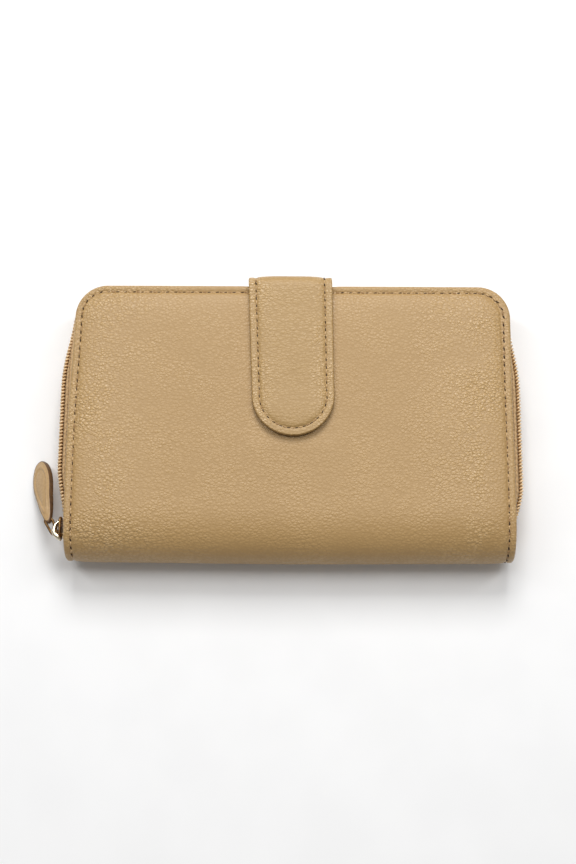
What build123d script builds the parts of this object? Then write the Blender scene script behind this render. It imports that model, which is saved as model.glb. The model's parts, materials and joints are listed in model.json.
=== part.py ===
from build123d import *

from math import asin, cos, degrees, radians, sin
import os

# Zip around wallet, closed and lying on its back cover.
# +X runs along the spine, +Y points to the opening edge, +Z out of the front cover.
# The origin is the middle of the back cover's outer face. All lengths are millimetres.

# ---- overall size ----
PANEL_W = 190.0           # cover length along the spine
EDGE_Y = 60.0             # opening edge of both covers
SPINE_Y = -60.0           # outer face of the spine
THICK = 26.0              # outer face to outer face of the closed covers
MID = THICK / 2           # plane where the two zip halves meet
OPEN_R = 14.0             # cover corners at the opening edge
SPINE_R = 4.0             # cover corners at the spine

# ---- layers of a cover ----
LEATHER = 1.6
FOLD_GAP = 0.3            # clear gap at every fold line
LAYER_GAP = 0.05          # between stacked layers of one cover
BOARD = 0.95
LINING = 0.6
PANEL_LAYER = 0.8
STRIP = 0.7
BOARD_INSET = 8.0
LINING_INSET = 5.0

# ---- main zip ----
TOP_PULL_IN = 1.5         # the zip runs this much closer in along the opening edge
TAPE_IN = 1.2             # upright tape, distance outside the cover edge
TAPE_OUT = 1.8
COIL_IN = 1.85
COIL_OUT = 3.5
COIL_HEIGHT = 2.6         # one row of teeth, across the zip
ROW_GAP = 0.5             # from the middle plane to each row
TAPE_FOOT_Z = 2.7
TAPE_KNEE_Z = 8.4
ZIP_END_Y = -43.0

# ---- main slider, ring and pull ----
SLIDER_Y = -45.0
SLIDER_LONG = 9.5
SLIDER_HALF = 3.9
PLATE = 1.1
WEB = 0.4
PIN_R = 0.6
RING_WIRE = 1.0
RING_NEAR_R = 1.9         # outer radius round the pin
RING_FAR_R = 2.6          # outer radius where the pull is looped on
RING_LONG = 3.8           # between the two ring centres
PULL_LEAN = 12.0          # degrees away from the side of the wallet
EYE_R_IN = 1.5
EYE_R_OUT = 2.3
EYE_WIDE = 2.6
PULL_REACH = 31.0         # from the loop's axis to the tip
PULL_WIDE = 9.4
PULL_LAYER = 1.2
PULL_CORE = 0.5

# ---- strap ----
STRAP_W = 35.0
STRAP_X = -0.9            # the strap's middle where it turns over the edge
STRAP_SKEW = 2.27         # degrees, tip towards +X
STRAP_TIP_Y = -8.0
BRIDGE_Y = 65.0           # outer face of the part that crosses the edge
STRAP_T = 2.6
STRAP_OUTER = 1.15
STRAP_FILL = 0.45
STRAP_LIFT = 0.35         # strap above the front cover
SNAP_R = 6.0

# ---- coin leaf ----
LEAF_W = 168.0
LEAF_WALL = 1.0
LEAF_HALF = 3.4
LEAF_START = -53.0
LEAF_END = 41.0
COIN_TRAVEL_START = -72.0

COVER_START = SPINE_Y + LEATHER + FOLD_GAP
STRAP_TOP = THICK + STRAP_LIFT + STRAP_T

os.makedirs("parts", exist_ok=True)


def save(part, name):
    """Label one piece and write it to its own file."""
    part.label = name
    export_step(part, "parts/" + name + ".step")


def flipped(part):
    """The same piece on the front cover: mirrored in the middle plane."""
    return mirror(part, about=Plane.XY.offset(MID), mode=Mode.PRIVATE)


def cover_outline(height, inset=0.0):
    """Plan shape of a cover, wide radii at the opening edge."""
    depth = EDGE_Y - COVER_START
    with BuildSketch(Plane.XY.offset(height)) as outline:
        with Locations((0, (EDGE_Y + COVER_START) / 2)):
            Rectangle(PANEL_W - 2 * inset, depth - 2 * inset)
        corners = outline.vertices().group_by(Axis.Y)
        fillet(corners[-1], OPEN_R - inset)
        fillet(corners[0], max(SPINE_R - inset, 1.0))
    return outline.sketch


def flat_panel(height, x_from, x_to, y_from, y_to, radius=1.5):
    """Rounded rectangle between four sides at one height."""
    with BuildSketch(Plane.XY.offset(height)) as outline:
        with Locations(((x_from + x_to) / 2, (y_from + y_to) / 2)):
            RectangleRounded(x_to - x_from, y_to - y_from, radius)
    return outline.sketch


def track_band(height, inner, outer):
    """U-shaped band that follows both sides and the opening edge."""
    with BuildSketch(Plane.XY.offset(height)) as band:
        for reach, mode in ((outer, Mode.ADD), (inner, Mode.SUBTRACT)):
            top = EDGE_Y - TOP_PULL_IN + reach
            depth = 2 * (top - ZIP_END_Y)
            with Locations((0, top - depth / 2)):
                RectangleRounded(PANEL_W + 2 * reach, depth, OPEN_R + reach, mode=mode)
        with Locations((0, ZIP_END_Y)):
            Rectangle(
                2 * PANEL_W,
                2 * PANEL_W,
                align=(Align.CENTER, Align.MAX),
                mode=Mode.SUBTRACT,
            )
    return band.sketch


# ================= back cover =================


def make_back_cover():
    """Leather, board, lining and pockets of the cover the wallet lies on."""
    with BuildPart() as leather:
        extrude(cover_outline(0), amount=LEATHER)
        fillet(leather.faces().sort_by(Axis.Z)[0].edges(), 0.6)
    save(leather.part, "back_leather")

    board_z = LEATHER + LAYER_GAP
    with BuildPart() as board:
        extrude(cover_outline(board_z, BOARD_INSET), amount=BOARD)
    save(board.part, "back_board")

    lining_z = board_z + BOARD + LAYER_GAP
    with BuildPart() as lining:
        extrude(cover_outline(lining_z, LINING_INSET), amount=LINING)
    save(lining.part, "back_lining")

    slip_z = lining_z + LINING + LAYER_GAP
    with BuildPart() as slip:
        extrude(flat_panel(slip_z, -88, 88, -52, 48, 4), amount=PANEL_LAYER)
    save(slip.part, "back_slip_panel")

    pocket_z = slip_z + PANEL_LAYER + LAYER_GAP
    for step in range(3):
        strip_z = pocket_z + step * (STRIP + LAYER_GAP)
        mouth_y = 30 - 14 * step
        with BuildPart() as strip:
            extrude(flat_panel(strip_z, -88, -1, -52, mouth_y), amount=STRIP)
        save(strip.part, "back_card_strip_%d" % (step + 1))

    with BuildPart() as window:
        extrude(flat_panel(pocket_z, 4, 85, -48, 14), amount=0.3)
    save(window.part, "id_window")

    frame_z = pocket_z + 0.3 + LAYER_GAP
    with BuildPart() as id_frame:
        extrude(flat_panel(frame_z, 1, 88, -52, 16), amount=PANEL_LAYER)
        extrude(flat_panel(frame_z, 9, 80, -42, 6, 4), amount=PANEL_LAYER, mode=Mode.SUBTRACT)
    save(id_frame.part, "id_frame")


def make_strap_root():
    """Tongue of strap leather sewn between the back leather and the zip tape."""
    root_z = LEATHER + LAYER_GAP
    root_end = BRIDGE_Y - STRAP_T - FOLD_GAP - 0.1
    root_start = EDGE_Y - BOARD_INSET + 0.3
    with BuildPart() as root:
        with BuildSketch(Plane.XY.offset(root_z)):
            with Locations((STRAP_X, (root_start + root_end) / 2)):
                Rectangle(STRAP_W, root_end - root_start)
        extrude(amount=BOARD)
    save(root.part, "strap_root")


# ================= front cover =================


def make_front_cover():
    """Leather, board, lining and pockets of the cover that opens."""
    with BuildPart() as leather:
        extrude(cover_outline(THICK - LEATHER), amount=LEATHER)
        fillet(leather.faces().sort_by(Axis.Z)[-1].edges(), 0.6)
        with BuildSketch(Plane.XY.offset(THICK)):
            with Locations(snap_centre()):
                Circle(1.5)
        extrude(amount=-LEATHER, mode=Mode.SUBTRACT)
    save(leather.part, "front_leather")

    board_z = THICK - LEATHER - LAYER_GAP - BOARD
    with BuildPart() as board:
        extrude(cover_outline(board_z, BOARD_INSET), amount=BOARD)
        with BuildSketch(Plane.XY.offset(board_z)):
            with Locations(snap_centre()):
                Circle(SNAP_R + 0.1)
        extrude(amount=BOARD, mode=Mode.SUBTRACT)
    save(board.part, "front_board")

    with BuildPart() as washer:
        with BuildSketch(Plane.XY.offset(board_z)):
            with Locations(snap_centre()):
                Circle(SNAP_R)
        extrude(amount=BOARD)
    save(washer.part, "snap_washer")

    lining_z = board_z - LAYER_GAP - LINING
    with BuildPart() as lining:
        extrude(cover_outline(lining_z, LINING_INSET), amount=LINING)
    save(lining.part, "front_lining")

    slip_z = lining_z - LAYER_GAP - PANEL_LAYER
    with BuildPart() as slip:
        extrude(flat_panel(slip_z, -88, 88, -52, 48, 4), amount=PANEL_LAYER)
    save(slip.part, "front_slip_panel")

    for step in range(4):
        strip_z = slip_z - (step + 1) * (STRIP + LAYER_GAP)
        mouth_y = 38 - 12 * step
        with BuildPart() as strip:
            extrude(flat_panel(strip_z, -88, 88, -52, mouth_y), amount=STRIP)
        save(strip.part, "front_card_strip_%d" % (step + 1))


def snap_centre():
    """Where the strap fastens: the middle of its round tip."""
    run = BRIDGE_Y - STRAP_T - FOLD_GAP - (STRAP_TIP_Y + STRAP_W / 2)
    lean = radians(STRAP_SKEW)
    return (STRAP_X + run * sin(lean), BRIDGE_Y - STRAP_T - FOLD_GAP - run * cos(lean))


def make_snap_stud():
    """Stud that stands out of the front leather into the strap's socket."""
    with BuildPart() as stud:
        with BuildSketch(Plane.XY.offset(THICK - LEATHER)):
            with Locations(snap_centre()):
                Circle(1.5)
        extrude(amount=LEATHER)
        with BuildSketch(Plane.XY.offset(THICK)):
            with Locations(snap_centre()):
                Circle(3.0)
        extrude(amount=1.0)
        fillet(stud.faces().sort_by(Axis.Z)[-1].edges(), 0.4)
    save(stud.part, "snap_stud")


# ================= spine =================


def make_spine():
    """The strip of leather and lining between the two covers."""
    with BuildPart() as leather:
        with BuildSketch(Plane.XZ.offset(-SPINE_Y)):
            with Locations((0, MID)):
                RectangleRounded(PANEL_W - 4, THICK - 2 * FOLD_GAP, 2)
        extrude(amount=-LEATHER)
        fillet(leather.faces().sort_by(Axis.Y)[0].edges(), 0.6)
    save(leather.part, "spine_leather")

    with BuildPart() as lining:
        with BuildSketch(Plane.XZ.offset(-SPINE_Y - LEATHER)):
            with Locations((0, MID)):
                RectangleRounded(PANEL_W - 14, THICK - 6, 1)
        extrude(amount=-LINING)
    save(lining.part, "spine_lining")


# ================= main zip =================


def make_zip():
    """Tapes, rows of teeth and end tabs; the front half mirrors the back half."""
    with BuildPart() as tape:
        loft([track_band(TAPE_FOOT_Z, -2.8, -2.2), track_band(TAPE_KNEE_Z, TAPE_IN, TAPE_OUT)])
        extrude(track_band(TAPE_KNEE_Z, TAPE_IN, TAPE_OUT), amount=MID - ROW_GAP - TAPE_KNEE_Z)
    save(tape.part, "zip_tape_back")

    with BuildPart() as coil:
        coil_z = MID - ROW_GAP - COIL_HEIGHT
        extrude(track_band(coil_z, COIL_IN, COIL_OUT), amount=COIL_HEIGHT)
        long_edges = coil.faces().sort_by(Axis.Z)[0].edges().filter_by(GeomType.LINE)
        fillet(long_edges.filter_by(Axis.Y).sort_by(Axis.X)[0], 0.5)
    save(coil.part, "zip_coil_back")

    with BuildPart() as tape_front:
        add(flipped(tape.part))
    save(tape_front.part, "zip_tape_front")

    with BuildPart() as coil_front:
        add(flipped(coil.part))
    save(coil_front.part, "zip_coil_front")

    for side, name in ((-1, "left"), (1, "right")):
        with BuildPart() as tab:
            tab_x = side * (PANEL_W / 2 - 2.4)
            tab_y = (COVER_START + 1.5 + ZIP_END_Y - 0.3) / 2
            with Locations((tab_x, tab_y, TAPE_FOOT_Z)):
                Box(
                    1.0,
                    ZIP_END_Y - 0.3 - COVER_START - 1.5,
                    MID - ROW_GAP - TAPE_FOOT_Z,
                    align=(Align.CENTER, Align.CENTER, Align.MIN),
                )
            fillet(tab.edges().filter_by(Axis.X), 1.0)
        save(tab.part, "zip_end_tab_back_" + name)
        with BuildPart() as tab_front:
            add(flipped(tab.part))
        save(tab_front.part, "zip_end_tab_front_" + name)


def left_x(outside):
    """X of a point this far outside the left cover edge."""
    return -PANEL_W / 2 - outside


PIN_OUTSIDE = COIL_OUT + 0.35 + PLATE + 0.45 + RING_NEAR_R
PIN_Y = SLIDER_Y - 1.5


def make_slider():
    """Two plates joined by a thin web between the rows, with ears for the pin."""
    with BuildPart() as slider:
        for inner in (TAPE_IN - 0.3 - PLATE, COIL_OUT + 0.35):
            with BuildSketch(Plane.YZ.offset(left_x(inner))):
                with Locations((SLIDER_Y, MID)):
                    RectangleRounded(SLIDER_LONG, 2 * SLIDER_HALF, 2.2)
            extrude(amount=-PLATE)
        with Locations((left_x(TAPE_IN - 0.3), SLIDER_Y - 3.2, MID)):
            Box(
                COIL_OUT + 0.65 - TAPE_IN,
                2.4,
                WEB,
                align=(Align.MAX, Align.CENTER, Align.CENTER),
            )
        ear_from = COIL_OUT + 0.35 + PLATE
        for low in (MID - 2.0, MID + 0.85):
            with BuildSketch(Plane.XY.offset(low)):
                with Locations((left_x(PIN_OUTSIDE), PIN_Y)):
                    Circle(1.2)
                with Locations((left_x((ear_from + PIN_OUTSIDE) / 2), PIN_Y)):
                    Rectangle(PIN_OUTSIDE - ear_from, 2.4)
                with Locations((left_x(PIN_OUTSIDE), PIN_Y)):
                    Circle(PIN_R, mode=Mode.SUBTRACT)
            extrude(amount=1.15)
    save(slider.part, "zip_slider")

    with BuildPart() as pin:
        with BuildSketch(Plane.XY.offset(MID - 2.0)):
            with Locations((left_x(PIN_OUTSIDE), PIN_Y)):
                Circle(PIN_R)
        extrude(amount=4.0)
    save(pin.part, "zip_slider_pin")


def pear(plane, near_r, far_r):
    """Outline round two circles, the near one on the pin."""
    with BuildSketch(plane) as outline:
        with BuildLine():
            CenterArc((0, 0), near_r, 0, 360)
            CenterArc((0, RING_LONG), far_r, 0, 360)
        make_hull()
    return outline.sketch


def make_ring():
    """Pear-shaped wire ring that turns on the slider's pin."""
    lean = radians(PULL_LEAN)
    ring_plane = Plane(
        origin=(left_x(PIN_OUTSIDE), PIN_Y, MID - 0.55),
        x_dir=(cos(lean), sin(lean), 0),
        z_dir=(0, 0, 1),
    )
    with BuildPart() as ring:
        extrude(pear(ring_plane, RING_NEAR_R, RING_FAR_R), amount=1.1)
        extrude(
            pear(ring_plane, RING_NEAR_R - RING_WIRE, RING_FAR_R - RING_WIRE),
            amount=1.1,
            mode=Mode.SUBTRACT,
        )
        fillet(ring.edges(), 0.3)
    save(ring.part, "pull_ring")


LOOP_ALONG = RING_LONG + RING_FAR_R - RING_WIRE - 0.1
PULL_HALF = PULL_LAYER + PULL_CORE / 2
PULL_DROOP = degrees(asin((MID - PULL_HALF - 0.1) / PULL_REACH))


def pull_plane(lift):
    """Plane of the pull, origin on the loop's axis, Y towards the tip."""
    lean = radians(PULL_LEAN)
    droop = radians(PULL_DROOP)
    along = Vector(-sin(lean) * cos(droop), cos(lean) * cos(droop), -sin(droop))
    across = Vector(cos(lean), sin(lean), 0)
    up = across.cross(along)
    axis = Vector(
        left_x(PIN_OUTSIDE) - LOOP_ALONG * sin(lean),
        PIN_Y + LOOP_ALONG * cos(lean),
        MID,
    )
    return Plane(origin=axis + up * lift, x_dir=across, z_dir=up)


def pull_outline(lift, start, shrink=0.0):
    """Oval of the pull from a given distance beyond the loop's axis."""
    long_half = (PULL_REACH + 1.0) / 2
    with BuildSketch(pull_plane(lift)) as outline:
        with Locations((0, PULL_REACH - long_half)):
            Ellipse(PULL_WIDE / 2 - shrink, long_half - shrink)
        with Locations((0, start)):
            Rectangle(
                2 * PULL_WIDE,
                2 * PULL_WIDE,
                align=(Align.CENTER, Align.MAX),
                mode=Mode.SUBTRACT,
            )
    return outline.sketch


def make_pull():
    """Two leather ovals with a core; the upper one carries the loop round the ring."""
    with BuildPart() as face:
        extrude(pull_outline(PULL_CORE / 2, 2.0), amount=PULL_LAYER)
        across = pull_plane(0)
        loop_plane = Plane(origin=across.origin, x_dir=across.y_dir, z_dir=-across.x_dir)
        with BuildSketch(loop_plane):
            Circle(EYE_R_OUT)
            Circle(EYE_R_IN, mode=Mode.SUBTRACT)
        extrude(amount=EYE_WIDE / 2, both=True)
    save(face.part, "pull_face")

    with BuildPart() as back:
        extrude(pull_outline(-PULL_HALF, EYE_R_OUT + 0.1), amount=PULL_LAYER)
    save(back.part, "pull_back")

    with BuildPart() as core:
        extrude(
            pull_outline(-PULL_CORE / 2 + 0.02, EYE_R_OUT + 0.5, 1.5),
            amount=PULL_CORE - 0.04,
        )
    save(core.part, "pull_filler")


# ================= strap =================


def tab_outline(height, shrink=0.0, gap=0.0):
    """Plan of the strap on the front cover, with its half-round tip."""
    end_y = BRIDGE_Y - STRAP_T - FOLD_GAP - gap
    tip = snap_centre()
    with BuildSketch(Plane.XY.offset(height)) as outline:
        with Locations(Location((tip[0], tip[1], 0), (0, 0, STRAP_SKEW))):
            Circle(STRAP_W / 2 - shrink)
            Rectangle(
                STRAP_W - 2 * shrink,
                2 * STRAP_W,
                align=(Align.CENTER, Align.MIN),
            )
        with Locations((0, end_y)):
            Rectangle(
                3 * STRAP_W,
                3 * STRAP_W,
                align=(Align.CENTER, Align.MIN),
                mode=Mode.SUBTRACT,
            )
    return outline.sketch


def make_strap_tab():
    """Outer leather, filler and lining of the strap on the front cover."""
    base = THICK + STRAP_LIFT
    lining_t = STRAP_T - STRAP_OUTER - STRAP_FILL - 2 * LAYER_GAP
    with BuildPart() as lining:
        extrude(tab_outline(base), amount=lining_t)
        with BuildSketch(Plane.XY.offset(base)):
            with Locations(snap_centre()):
                Circle(SNAP_R + 0.1)
        extrude(amount=lining_t, mode=Mode.SUBTRACT)
    save(lining.part, "strap_tab_lining")

    filler_z = base + lining_t + LAYER_GAP
    with BuildPart() as filler:
        extrude(tab_outline(filler_z, 4.0, 2.0), amount=STRAP_FILL)
        with BuildSketch(Plane.XY.offset(filler_z)):
            with Locations(snap_centre()):
                Circle(SNAP_R + 0.1)
        extrude(amount=STRAP_FILL, mode=Mode.SUBTRACT)
    save(filler.part, "strap_tab_filler")

    with BuildPart() as outer:
        extrude(tab_outline(STRAP_TOP - STRAP_OUTER), amount=STRAP_OUTER)
        tip_edges = outer.faces().sort_by(Axis.Z)[-1].edges()
        fillet(tip_edges.sort_by(Axis.Y)[:-1], 0.5)
    save(outer.part, "strap_tab_outer")

    with BuildPart() as socket:
        with BuildSketch(Plane.XY.offset(base + 0.15)):
            with Locations(snap_centre()):
                Circle(SNAP_R)
        extrude(until=None, amount=filler_z + STRAP_FILL - base - 0.15)
        with BuildSketch(Plane.XY.offset(base + 0.15)):
            with Locations(snap_centre()):
                Circle(3.7)
        extrude(amount=filler_z - base - 0.1, mode=Mode.SUBTRACT)
    save(socket.part, "snap_socket")


def make_strap_bridge():
    """The strap where it crosses the opening edge, outer leather and lining."""
    with BuildPart() as outer:
        with Locations((STRAP_X, BRIDGE_Y, FOLD_GAP)):
            Box(
                STRAP_W,
                STRAP_OUTER,
                STRAP_TOP - FOLD_GAP,
                align=(Align.CENTER, Align.MAX, Align.MIN),
            )
        with Locations((STRAP_X, BRIDGE_Y - STRAP_OUTER, STRAP_TOP)):
            Box(
                STRAP_W,
                STRAP_T - STRAP_OUTER,
                STRAP_OUTER,
                align=(Align.CENTER, Align.MAX, Align.MAX),
            )
        turn = outer.edges().filter_by(Axis.X).sort_by(lambda edge: edge.center().Y + edge.center().Z)
        fillet(turn[-1], 1.1)
    save(outer.part, "strap_bridge_outer")

    with BuildPart() as lining:
        with Locations((STRAP_X, BRIDGE_Y - STRAP_OUTER - LAYER_GAP, FOLD_GAP)):
            Box(
                STRAP_W,
                STRAP_T - STRAP_OUTER - LAYER_GAP,
                STRAP_TOP - STRAP_OUTER - LAYER_GAP - FOLD_GAP,
                align=(Align.CENTER, Align.MAX, Align.MIN),
            )
    save(lining.part, "strap_bridge_lining")


# ================= coin leaf =================


def make_leaf():
    """Flat zipped coin pocket carried over the back pockets by a strip at the spine."""
    for low, name in ((MID - LEAF_HALF, "back"), (MID + LEAF_HALF - LEAF_WALL, "front")):
        with BuildPart() as wall:
            extrude(
                flat_panel(low, -LEAF_W / 2, LEAF_W / 2, LEAF_START, LEAF_END, 3),
                amount=LEAF_WALL,
            )
        save(wall.part, "leaf_wall_" + name)

    core = 2 * (LEAF_HALF - LEAF_WALL - LAYER_GAP)
    for side, name in ((-1, "left"), (1, "right")):
        with BuildPart() as gusset:
            with Locations((side * (LEAF_W / 2 - 3.5), (LEAF_START + LEAF_END) / 2, MID)):
                Box(1.0, LEAF_END - LEAF_START - 8.0, core)
        save(gusset.part, "leaf_gusset_" + name)

    with BuildPart() as bottom:
        with Locations((0, LEAF_START + 3.5, MID)):
            Box(LEAF_W - 9.0, 1.0, core)
    save(bottom.part, "leaf_bottom_strip")

    strip_from = LEATHER + BOARD + LINING + 3 * LAYER_GAP
    with BuildPart() as base:
        with Locations((0, LEAF_START + 0.1, strip_from)):
            Box(
                LEAF_W - 16.0,
                0.8,
                MID - LEAF_HALF - LAYER_GAP - strip_from,
                align=(Align.CENTER, Align.MIN, Align.MIN),
            )
        fillet(base.edges().filter_by(Axis.Y), 0.8)
    save(base.part, "leaf_base_strip")


def make_coin_zip():
    """Tapes, rows of teeth, slider, pin and pull tab on the leaf's free edge."""
    tape_y = LEAF_END + LAYER_GAP
    coil_y = tape_y + 0.6 + LAYER_GAP
    for side, name in ((-1, "back"), (1, "front")):
        with BuildPart() as tape:
            with Locations((0, tape_y, MID + side * (0.6 + LEAF_HALF) / 2)):
                Box(
                    LEAF_W - 6.0,
                    0.6,
                    LEAF_HALF - 0.6,
                    align=(Align.CENTER, Align.MIN, Align.CENTER),
                )
        save(tape.part, "coin_tape_" + name)
        with BuildPart() as coil:
            with Locations((0, coil_y, MID + side * 1.3)):
                Box(
                    LEAF_W - 12.0,
                    1.5,
                    1.6,
                    align=(Align.CENTER, Align.MIN, Align.CENTER),
                )
            fillet(coil.edges().filter_by(Axis.X).group_by(Axis.Y)[-1], 0.4)
        save(coil.part, "coin_coil_" + name)

    slider_x = COIN_TRAVEL_START
    top_y = coil_y + 1.5 + 0.3
    pin_y = top_y + 1.0 + 0.35 + 1.45
    with BuildPart() as slider:
        for low, half in ((tape_y - 0.35 - 1.2, 2.0), (top_y, 2.7)):
            with BuildSketch(Plane.XZ.offset(-low)):
                with Locations((slider_x, MID)):
                    RectangleRounded(9.0, 2 * half, 1.2)
            extrude(amount=-(1.2 if half < 2.5 else 1.0))
        with Locations((slider_x - 3.0, tape_y - 0.35, MID)):
            Box(2.0, top_y - tape_y + 0.35, WEB, align=(Align.CENTER, Align.MIN, Align.CENTER))
        for low in (MID - 2.2, MID + 1.3):
            with BuildSketch(Plane.XY.offset(low)):
                with Locations((slider_x, pin_y)):
                    Circle(1.1)
                with Locations((slider_x, (top_y + 1.0 + pin_y) / 2)):
                    Rectangle(2.2, pin_y - top_y - 1.0)
                with Locations((slider_x, pin_y)):
                    Circle(0.5, mode=Mode.SUBTRACT)
            extrude(amount=0.9)
    save(slider.part, "coin_slider")

    with BuildPart() as pin:
        with BuildSketch(Plane.XY.offset(MID - 2.2)):
            with Locations((slider_x, pin_y)):
                Circle(0.5)
        extrude(amount=4.4)
    save(pin.part, "coin_slider_pin")

    with BuildPart() as tab:
        with BuildSketch(Plane.XY.offset(MID - 1.0)):
            with Locations((slider_x, pin_y)):
                Circle(1.45)
            with Locations((slider_x + 2.2, pin_y)):
                Rectangle(4.4, 1.0)
            with Locations((slider_x, pin_y)):
                Circle(0.8, mode=Mode.SUBTRACT)
        extrude(amount=2.0)
        with BuildSketch(Plane.XZ.offset(-pin_y + 0.5)):
            with Locations((slider_x + 5.8, MID)):
                RectangleRounded(6.4, 4.4, 1.2)
        extrude(amount=-1.0)
    save(tab.part, "coin_pull")


make_back_cover()
make_strap_root()
make_front_cover()
make_snap_stud()
make_spine()
make_zip()
make_slider()
make_ring()
make_pull()
make_strap_tab()
make_strap_bridge()
make_leaf()
make_coin_zip()
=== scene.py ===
import json
from math import asin, ceil, cos, pi, radians, sin, sqrt

import bmesh
import bpy
import numpy as np
from mathutils import Matrix, Vector


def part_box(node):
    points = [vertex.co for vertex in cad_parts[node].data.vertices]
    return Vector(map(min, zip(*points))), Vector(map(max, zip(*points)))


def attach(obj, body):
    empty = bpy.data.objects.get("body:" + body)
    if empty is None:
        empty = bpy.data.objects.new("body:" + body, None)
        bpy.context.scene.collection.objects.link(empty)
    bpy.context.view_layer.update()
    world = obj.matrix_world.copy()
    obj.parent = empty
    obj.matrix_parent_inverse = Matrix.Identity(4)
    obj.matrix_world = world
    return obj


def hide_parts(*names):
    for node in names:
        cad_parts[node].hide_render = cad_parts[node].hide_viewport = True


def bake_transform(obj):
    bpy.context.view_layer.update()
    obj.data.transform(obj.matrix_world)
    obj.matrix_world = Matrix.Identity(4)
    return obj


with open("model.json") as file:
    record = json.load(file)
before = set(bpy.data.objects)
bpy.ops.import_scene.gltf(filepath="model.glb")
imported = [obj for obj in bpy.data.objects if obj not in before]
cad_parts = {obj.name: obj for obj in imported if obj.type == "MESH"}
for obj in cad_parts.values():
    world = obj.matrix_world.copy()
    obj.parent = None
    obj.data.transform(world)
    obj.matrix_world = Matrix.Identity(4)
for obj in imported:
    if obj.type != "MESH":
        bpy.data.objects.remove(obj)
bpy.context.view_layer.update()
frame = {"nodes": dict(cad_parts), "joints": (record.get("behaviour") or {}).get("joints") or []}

# All shapes below are worked out in millimetres in the CAD frame, and scaled once when meshed.
MM = 0.001


def mm_box(node):
    lo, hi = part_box(node)
    return np.array(lo) / MM, np.array(hi) / MM


# ---------------------------------------------------------------- measures from the frame
HALF_W, EDGE_Y, TOP_Z = mm_box("front_leather")[1]
MID_Z = TOP_Z / 2
SPINE_Y = mm_box("spine_leather")[0][1]
TAB_LO = mm_box("strap_tab_outer")[0]
BRIDGE_LO, BRIDGE_HI = mm_box("strap_bridge_outer")
STUD = sum(mm_box("snap_stud")) / 2
JOINTS = {j["name"]: j for j in frame["joints"]}

CORNER_R = 14.0
STITCH_IN = 3.1           # stitch line, distance from the cover's edge
STITCH_PITCH = 3.6
FOLD_START_Y = -37.0      # where the cover starts to roll into the spine
SPINE_FACE_Y = SPINE_Y + 1.1
COVER_T = 2.2             # thickness of the turned leather rim
BACK_IN = 0.7             # the back lies this much deeper than its CAD face, off the floor

STRAP_HALF = 17.5
STRAP_X = (BRIDGE_LO[0] + BRIDGE_HI[0]) / 2
STRAP_TIP = TAB_LO[1] + STRAP_HALF   # y of the middle of the round tip
STRAP_T = 2.0
STRAP_SKEW = radians(2.27)
STRAP_STITCH_IN = 3.2
STRAP_PITCH = 3.35

TOOTH_PITCH = 1.475
COIL_WIDE = 2.05          # teeth, measured outwards from the tape's face
COIL_WIRE = 0.42


# ---------------------------------------------------------------- small helpers
def smooth(t):
    t = np.clip(t, 0.0, 1.0)
    return t * t * (3 - 2 * t)


def bell(distance, width):
    return np.exp(-((distance / width) ** 2))


def unit(v):
    v = np.asarray(v, float)
    return v / np.maximum(np.linalg.norm(v, axis=-1, keepdims=True), 1e-9)


def wave_noise(x, y, seed, wavelength):
    """Smooth, repeatable unevenness made of a few slanted waves, about -1 to 1."""
    rng = np.random.RandomState(seed)
    total = np.zeros(np.broadcast(x, y).shape)
    for _ in range(7):
        angle, phase = rng.uniform(0, 2 * pi, 2)
        length = wavelength * rng.uniform(0.6, 1.7)
        total += np.sin((x * cos(angle) + y * sin(angle)) * 2 * pi / length + phase)
    return total / 3.5


def run_length(points):
    """Distance along a line at each of its points."""
    steps = np.linalg.norm(np.diff(points, axis=0), axis=1)
    return np.concatenate([[0], np.cumsum(steps)])


def read_columns(at, run, table):
    """Every column of a table, read at places along a line."""
    return [np.interp(at, run, column) for column in np.transpose(table)]


def read_points(at, run, points):
    return np.stack(read_columns(at, run, points), 1)


def arc(centre, r, start, stop, count):
    """Points of an arc, with its angles in degrees."""
    a = np.radians(np.linspace(start, stop, count))
    return np.column_stack([centre[0] + r * np.cos(a), centre[1] + r * np.sin(a)])


def round_outline(half, top, r, ends, step, arc_points, across):
    """Plan line up the left side, along the opening edge and down the right side."""
    up = np.arange(ends[0], top - r, step)
    down = np.arange(top - r, ends[1], -step)
    return np.vstack([
        np.column_stack([0 * up - half, up]),
        arc((r - half, top - r), r, 180, 90, arc_points),
        np.column_stack([across, 0 * across + top]),
        arc((half - r, top - r), r, 90, 0, arc_points),
        np.column_stack([0 * down + half, down]),
    ])


def side_view(y, z):
    """A line seen from the side: its length so far, and a table of y, z and unit direction."""
    run = run_length(np.column_stack([y, z]))
    along = unit(np.stack([np.gradient(y, run), np.gradient(z, run)], 1))
    return run, np.column_stack([y, z, along])


def turned(degrees, along, side):
    """Two directions at right angles, turned in their plane."""
    angle = radians(degrees)
    return along * cos(angle) + side * sin(angle), side * cos(angle) - along * sin(angle)


def even_angles(count):
    return 2 * pi * np.arange(count) / count


# ---------------------------------------------------------------- meshes
def make_object(name, verts, faces, material, smooth_faces=True):
    mesh = bpy.data.meshes.new(name)
    mesh.from_pydata([tuple(v) for v in np.asarray(verts) * MM], [], faces)
    mesh.validate()
    mesh.polygons.foreach_set("use_smooth", [smooth_faces] * len(mesh.polygons))
    mesh.update()
    piece = bpy.data.objects.new(name, mesh)
    bpy.context.scene.collection.objects.link(piece)
    piece.data.materials.append(material)
    return piece


def fix_normals(piece):
    work = bmesh.new()
    work.from_mesh(piece.data)
    bmesh.ops.recalc_face_normals(work, faces=work.faces)
    work.to_mesh(piece.data)
    work.free()
    return piece


class Soup:
    """Collects many small closed shapes into one mesh."""

    def __init__(self):
        self.verts, self.faces, self.count = [], [], 0

    def add(self, verts, faces):
        self.verts.append(np.asarray(verts, float))
        self.faces.extend([tuple(i + self.count for i in f) for f in faces])
        self.count += len(verts)

    def mesh(self, name, material, slot):
        made = make_object(name, np.vstack(self.verts), self.faces, material)
        return made


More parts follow.
